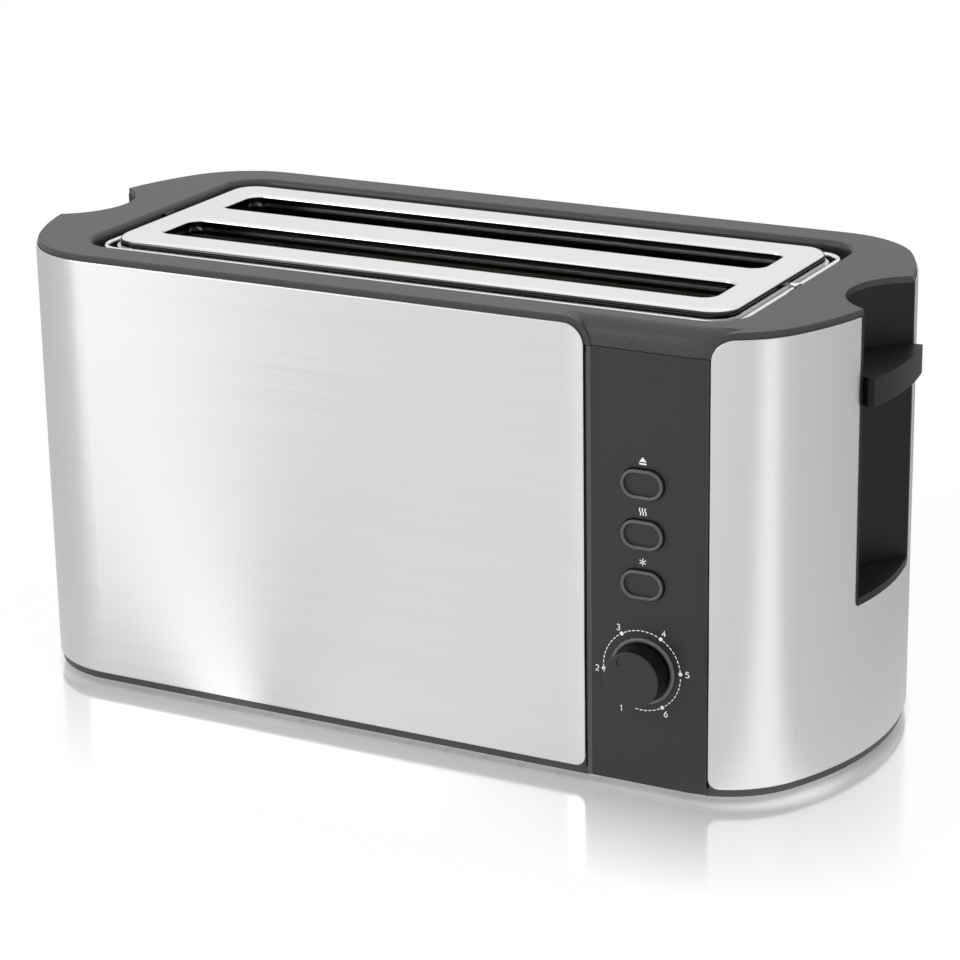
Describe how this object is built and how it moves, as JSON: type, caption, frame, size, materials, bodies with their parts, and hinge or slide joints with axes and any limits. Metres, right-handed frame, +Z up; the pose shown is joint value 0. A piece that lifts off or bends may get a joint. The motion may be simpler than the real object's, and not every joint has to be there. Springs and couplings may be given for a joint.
{
  "type": "long slot toaster",
  "caption": "Long slot toaster with brushed steel panels, dark plastic cover, push buttons, browning knob, end lever and fold-up bun rack",
  "frame": {"origin": "under the middle of the whole object's box, on the surface it stands on", "axes": "+X along the length to the lever end, +Y to the back, +Z up"},
  "size_m": [0.4, 0.1874, 0.2005],
  "materials": {
    "steel": "brushed",
    "cover_plastic": "matte",
    "panel_plastic": "matte",
    "polished_plate": "polished",
    "bright_wire": "polished",
    "plated_steel": "satin",
    "rubber": "matte",
    "mica": "matte",
    "ribbon": "satin",
    "circuit_board": "matte",
    "component_plastic": "matte",
    "copper_coil": "matte"
  },
  "bodies": {
    "body": {"main_steel_panel": "steel", "right_steel_panel": "steel", "top_cover": "cover_plastic", "lever_scoop_liner": "cover_plastic", "grip_scoop_liner": "cover_plastic", "base_pan": "cover_plastic", "rubber_feet": "rubber", "base_screws": "plated_steel", "cord_gland": "cover_plastic", "slot_plate": "polished_plate", "control_panel": "panel_plastic", "knob_ring": "panel_plastic", "potentiometer_body": "component_plastic", "control_board": "circuit_board", "board_screws": "plated_steel", "button_switches": "component_plastic", "timer_chip": "component_plastic", "board_capacitors": "component_plastic", "left_chassis_plate": "plated_steel", "right_chassis_plate": "plated_steel", "lever_guide_rod": "bright_wire", "left_guide_rod": "bright_wire", "front_reflector": "plated_steel", "rear_reflector": "plated_steel", "front_heater_board": "mica", "rear_heater_board": "mica", "centre_heater_board": "mica", "front_heater_winding": "ribbon", "rear_heater_winding": "ribbon", "centre_heater_windings": "ribbon", "magnet_core": "plated_steel", "magnet_coil": "copper_coil", "power_switch": "component_plastic", "terminal_block": "component_plastic", "rack_ears": "plated_steel", "lift_spring": "bright_wire"},
    "carriage": {"lever_paddle": "cover_plastic", "lever_arm": "plated_steel", "carriage_bracket": "plated_steel", "guide_bushing": "component_plastic", "left_slider": "plated_steel", "front_bread_rail": "plated_steel", "rear_bread_rail": "plated_steel", "latch_armature": "plated_steel"},
    "stop": {"stop_button": "panel_plastic"},
    "reheat": {"reheat_button": "panel_plastic"},
    "defrost": {"defrost_button": "panel_plastic"},
    "knob": {"browning_knob": "panel_plastic", "potentiometer_shaft": "plated_steel"},
    "tray": {"crumb_tray": "plated_steel", "crumb_tray_pull": "cover_plastic"},
    "rack_front": {"rack_front_wire": "bright_wire"},
    "rack_rear": {"rack_rear_wire": "bright_wire"},
    "grid_front_front": {"front_slot_front_grid": "bright_wire"},
    "grid_front_rear": {"front_slot_rear_grid": "bright_wire"},
    "grid_rear_front": {"rear_slot_front_grid": "bright_wire"},
    "grid_rear_rear": {"rear_slot_rear_grid": "bright_wire"}
  },
  "joints": [
    {"name": "lever_slide", "type": "slide", "parent": "body", "child": "carriage", "axis": [0, 0, -1], "range_m": [0, 0.072], "stiffness_N_per_m": 60, "springref_m": -0.12, "deforming": ["lift_spring"]},
    {"name": "stop_press", "type": "slide", "parent": "body", "child": "stop", "axis": [0, 1, 0], "range_m": [0, 0.002], "stiffness_N_per_m": 400, "springref_m": -0.002},
    {"name": "reheat_press", "type": "slide", "parent": "body", "child": "reheat", "axis": [0, 1, 0], "range_m": [0, 0.002], "stiffness_N_per_m": 400, "springref_m": -0.002},
    {"name": "defrost_press", "type": "slide", "parent": "body", "child": "defrost", "axis": [0, 1, 0], "range_m": [0, 0.002], "stiffness_N_per_m": 400, "springref_m": -0.002},
    {"name": "knob_turn", "type": "hinge", "parent": "body", "child": "knob", "pos_m": [0.122, -0.0817, 0.0537], "axis": [0, -1, 0], "range_deg": [-180, 120]},
    {"name": "tray_slide", "type": "slide", "parent": "body", "child": "tray", "axis": [0, 1, 0], "range_m": [0, 0.12]},
    {"name": "rack_front_fold", "type": "hinge", "parent": "body", "child": "rack_front", "pos_m": [-0.002, 0.0047, 0.196], "axis": [-1, 0, 0], "range_deg": [0, 45]},
    {"name": "rack_rear_fold", "type": "hinge", "parent": "body", "child": "rack_rear", "pos_m": [-0.002, 0.0107, 0.196], "axis": [1, 0, 0], "range_deg": [0, 45]},
    {"name": "grid_front_front_lean", "type": "hinge", "parent": "body", "child": "grid_front_front", "pos_m": [-0.002, -0.0378, 0.032], "axis": [-1, 0, 0], "range_deg": [0, 4.5]},
    {"name": "grid_front_rear_lean", "type": "hinge", "parent": "body", "child": "grid_front_rear", "pos_m": [-0.002, -0.0055, 0.032], "axis": [1, 0, 0], "range_deg": [0, 4.5]},
    {"name": "grid_rear_front_lean", "type": "hinge", "parent": "body", "child": "grid_rear_front", "pos_m": [-0.002, 0.0129, 0.032], "axis": [-1, 0, 0], "range_deg": [0, 4.5]},
    {"name": "grid_rear_rear_lean", "type": "hinge", "parent": "body", "child": "grid_rear_rear", "pos_m": [-0.002, 0.0452, 0.032], "axis": [1, 0, 0], "range_deg": [0, 4.5]}
  ],
  "couplings": [
    {"joint": "rack_rear_fold", "follows": "rack_front_fold", "ratio": 1},
    {"joint": "grid_front_front_lean", "follows": "lever_slide", "rad_per_m": 0.96963},
    {"joint": "grid_front_rear_lean", "follows": "lever_slide", "rad_per_m": 0.96963},
    {"joint": "grid_rear_front_lean", "follows": "lever_slide", "rad_per_m": 0.96963},
    {"joint": "grid_rear_rear_lean", "follows": "lever_slide", "rad_per_m": 0.96963}
  ]
}
